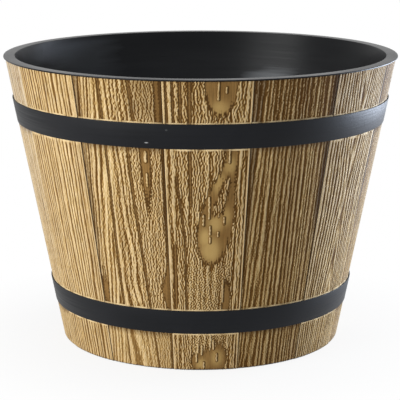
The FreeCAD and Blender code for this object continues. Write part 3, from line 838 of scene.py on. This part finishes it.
def turned(name, profile, count):
    """Closed profile of (radius, height) points turned once round the upright axis."""
    turn, radius = np.meshgrid(np.linspace(0, 2 * np.pi, count, endpoint=False), profile[:, 0], indexing="ij")
    height = np.broadcast_to(profile[:, 1], radius.shape)
    points = MM * np.stack([radius * np.sin(turn), -radius * np.cos(turn), height], axis=-1)
    return skin(name, points, ring_of_rows=True)


def pot_radius(up, wall):
    """Radius of the pot's wall at a height, its outer face or so far inside it."""
    return SEAT_FOOT + TAPER * up - PLANK_THICKNESS - POT_CLEARANCE - wall


pot_corners = [
    (DRAIN_RADIUS, POT_FLOOR_HIGH), (DRAIN_RADIUS, POT_FLOOR_LOW),
    (pot_radius(POT_FLOOR_LOW, 0), POT_FLOOR_LOW), (pot_radius(RIM_TOP - FLANGE, 0), RIM_TOP - FLANGE),
    (RIM_RADIUS, RIM_TOP - FLANGE), (RIM_RADIUS, RIM_TOP),
    (pot_radius(RIM_TOP, POT_WALL), RIM_TOP), (pot_radius(POT_FLOOR_HIGH, POT_WALL), POT_FLOOR_HIGH),
]
pot_rounds = [
    SMALL_ROUND, SMALL_ROUND, POT_CORNER, SMALL_ROUND,
    SMALL_ROUND, RIM_ROUND, RIM_ROUND, POT_CORNER - POT_WALL,
]
corners_before = pot_corners[-1:] + pot_corners[:-1]
corners_after = pot_corners[1:] + pot_corners[:1]
pot_profile = np.concatenate([
    round_corner(before, corner, after, radius, CORNER_POINTS)
    for before, corner, after, radius in zip(corners_before, pot_corners, corners_after, pot_rounds)])
pot = turned("liner_pot_moulding", pot_profile[::-1], POT_SIDES)
pot_plastic = black_finish(
    "matte_black_plastic", dark=(0.003, 0.0031, 0.0036), light=(0.005, 0.0051, 0.0058),
    roughness=(0.22, 0.44), marks=(10, 10, 300), depth=0.0002, gloss=0.14)
pot_tree = pot_plastic.node_tree
pot_shader = pot_tree.nodes["Principled BSDF"]
record_values(pot, "depth_in_pot", np.tile(np.repeat(INSIDE_DEPTHS, CORNER_POINTS)[::-1], (POT_SIDES, 1)))
pot_place = add_node(pot_tree, "ShaderNodeTexCoord").outputs["Object"]
pot_depth = add_node(pot_tree, "ShaderNodeAttribute", attribute_name="depth_in_pot").outputs["Fac"]
# Low in the pot the plastic turns grey: dust, and a painted sheen.
dust_and_sheen_spread = add_node(pot_tree, "ShaderNodeMapRange", {
    "Value": pot_depth, "From Min": DUST_SHEEN_FROM, "From Max": DUST_SHEEN_FULL})
dust_and_highlight_marks = place_group(pot_tree, rubbed, {"Vector": pot_place, "Marks per metre": DUST_AND_HIGHLIGHT_STREAKS})
dust_and_sheen_share = add_node(pot_tree, "ShaderNodeMath", {
    0: dust_and_sheen_spread.outputs["Result"], 1: dust_and_highlight_marks.outputs["Marks"]}, operation="MULTIPLY")
bare_plastic = pot_shader.inputs["Base Color"].links[0].from_socket
pot_tone = tinted(pot_tree, "MIX", dust_and_sheen_share.outputs[0], bare_plastic, DUST_AND_SHEEN_GREY)
inside = add_node(pot_tree, "ShaderNodeMapRange", {"Value": pot_depth, "From Max": INSIDE_FULL})
# Pale patches on the inside wall: painted highlights, broken up by the marks.
for highlight_middle, highlight_reach, share in INSIDE_HIGHLIGHTS:
    highlight_patch = place_group(pot_tree, soft_oval, {
        "Vector": pot_place, "Middle": [MM * number for number in highlight_middle],
        "Marks per metre": [1 / (MM * number) for number in highlight_reach], "Core": HIGHLIGHT_CORE})
    streaked = add_node(pot_tree, "ShaderNodeMath", {
        0: highlight_patch.outputs["Mask"], 1: dust_and_highlight_marks.outputs["Marks"]}, operation="ADD")
    highlight_share = add_node(pot_tree, "ShaderNodeMapRange", {
        "Value": streaked.outputs[0], "From Min": HIGHLIGHT_FROM, "From Max": HIGHLIGHT_FULL, "To Max": share})
    highlight_inside = add_node(pot_tree, "ShaderNodeMath", {
        0: highlight_share.outputs["Result"], 1: inside.outputs["Result"]}, operation="MULTIPLY")
    pot_tone = tinted(pot_tree, "MIX", highlight_inside.outputs[0], pot_tone, HIGHLIGHT_GREY)
pot_tree.links.new(pot_tone, pot_shader.inputs["Base Color"])
pot.data.materials.append(pot_plastic)
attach(pot, "inner_pot")
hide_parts("liner_pot")


# Drain plug: a stopper of soft black rubber, moulded in one piece with a flat finger grip. It is pushed into
# the drain from inside the pot.
dress("drain_plug", black_finish(
    "black_rubber", dark=(0.01, 0.01, 0.01), light=(0.018, 0.018, 0.019),
    roughness=(0.7, 0.85), marks=(1600, 1600, 1600), depth=0.0002, gloss=0.3))


# Studio: a pale floor that keeps a faint shadow, and white surroundings. A low warm light stands on the left
# and a cool one behind on the right. Places are in metres here, and the lens in millimetres.
FLOOR_SIZE = 12.0
FLOOR_DROP = 0.0003
FLOOR_WHITE = (0.85, 0.85, 0.85, 1)
FLOOR_FADE_NEAR, FLOOR_FADE_FAR = 0.15, 0.3
FLOOR_GLOW_NEAR, FLOOR_GLOW_FAR = 0.88, 1.0
PURE_WHITE = (1, 1, 1, 1)
# Place, size, power and colour of each light.
LIGHTS = {
    "left_light": ((-1.68, -1.25, 0.57), (1.3, 0.7), 36.5, (1.0, 0.97, 0.905)),
    "right_light": ((1.02, 0.46, 0.2), (0.75, 0.39), 21.6, (0.75, 0.84, 1.0)),
}
LIGHT_TARGET = (0.0, 0.0, 0.15)
CAMERA_PLACE = (-0.0006, -1.66315, 0.50292)
CAMERA_PITCH = 77.64
CAMERA_LENS = 147.34
SENSOR_WIDTH = 36.0
SURROUND_LIGHT = 0.35
SURROUND_TINT = (0.9, 0.95, 1.0, 1)


def seen_directly(tree):
    """1 for rays from the camera and for mirrored and see-through ones, 0 for the light on surfaces."""
    path = add_node(tree, "ShaderNodeLightPath")
    direct = path.outputs["Is Camera Ray"]
    for kind in ("Is Glossy Ray", "Is Transmission Ray"):
        either = add_node(tree, "ShaderNodeMath", {0: direct, 1: path.outputs[kind]}, operation="MAXIMUM")
        direct = either.outputs[0]
    return direct


floor_mesh = bpy.data.meshes.new("studio_floor")
floor_corners = FLOOR_SIZE / 2 * np.array([(-1, -1, 0), (1, -1, 0), (1, 1, 0), (-1, 1, 0)])
floor_corners[:, 2] = -FLOOR_DROP
floor_mesh.from_pydata(floor_corners, [], [(0, 1, 2, 3)])
floor = bpy.data.objects.new("studio_floor", floor_mesh)
bpy.context.scene.collection.objects.link(floor)
floor_paint, floor_tree, floor_shader = new_finish("studio_white", Base_Color=FLOOR_WHITE, Roughness=0.9)
floor_place = add_node(floor_tree, "ShaderNodeTexCoord").outputs["Object"]
floor_reach = add_node(floor_tree, "ShaderNodeVectorMath", {0: floor_place}, operation="LENGTH")
floor_fade = add_node(floor_tree, "ShaderNodeMapRange", {
    "Value": floor_reach.outputs["Value"], "From Min": FLOOR_FADE_NEAR, "From Max": FLOOR_FADE_FAR,
    "To Min": FLOOR_GLOW_NEAR, "To Max": FLOOR_GLOW_FAR})
floor_share = add_node(floor_tree, "ShaderNodeMath", {
    0: seen_directly(floor_tree), 1: floor_fade.outputs["Result"]}, operation="MULTIPLY")
floor_glow = add_node(floor_tree, "ShaderNodeEmission", {"Color": PURE_WHITE, "Strength": 1.0})
floor_mix = add_node(floor_tree, "ShaderNodeMixShader", {
    0: floor_share.outputs[0], 1: floor_shader.outputs[0], 2: floor_glow.outputs[0]})
floor_tree.links.new(floor_mix.outputs[0], floor_tree.nodes["Material Output"].inputs["Surface"])
floor_mesh.materials.append(floor_paint)

world = bpy.data.worlds.new("studio_world")
world.use_nodes = True
bpy.context.scene.world = world
world_tree = world.node_tree
surround = add_node(world_tree, "ShaderNodeBackground", {"Color": SURROUND_TINT, "Strength": SURROUND_LIGHT})
backdrop = add_node(world_tree, "ShaderNodeBackground", {"Color": PURE_WHITE, "Strength": 1.0})
world_mix = add_node(world_tree, "ShaderNodeMixShader", {
    0: seen_directly(world_tree), 1: surround.outputs[0], 2: backdrop.outputs[0]})
world_tree.links.new(world_mix.outputs[0], world_tree.nodes["World Output"].inputs["Surface"])

for name, (place, size, power, colour) in LIGHTS.items():
    lamp = bpy.data.lights.new(name, "AREA")
    lamp.shape = "RECTANGLE"
    lamp.size, lamp.size_y = size
    lamp.energy = power
    lamp.color = colour
    light = bpy.data.objects.new(name, lamp)
    light.location = place
    aim = Vector(LIGHT_TARGET) - Vector(place)
    light.rotation_euler = aim.to_track_quat("-Z", "Y").to_euler()
    bpy.context.scene.collection.objects.link(light)

camera_data = bpy.data.cameras.new("camera")
camera_data.lens = CAMERA_LENS
camera_data.sensor_width = SENSOR_WIDTH
camera = bpy.data.objects.new("camera", camera_data)
camera.location = CAMERA_PLACE
camera.rotation_euler = (math.radians(CAMERA_PITCH), 0.0, 0.0)
bpy.context.scene.collection.objects.link(camera)
bpy.context.scene.camera = camera
bpy.context.scene.view_settings.view_transform = "Standard"
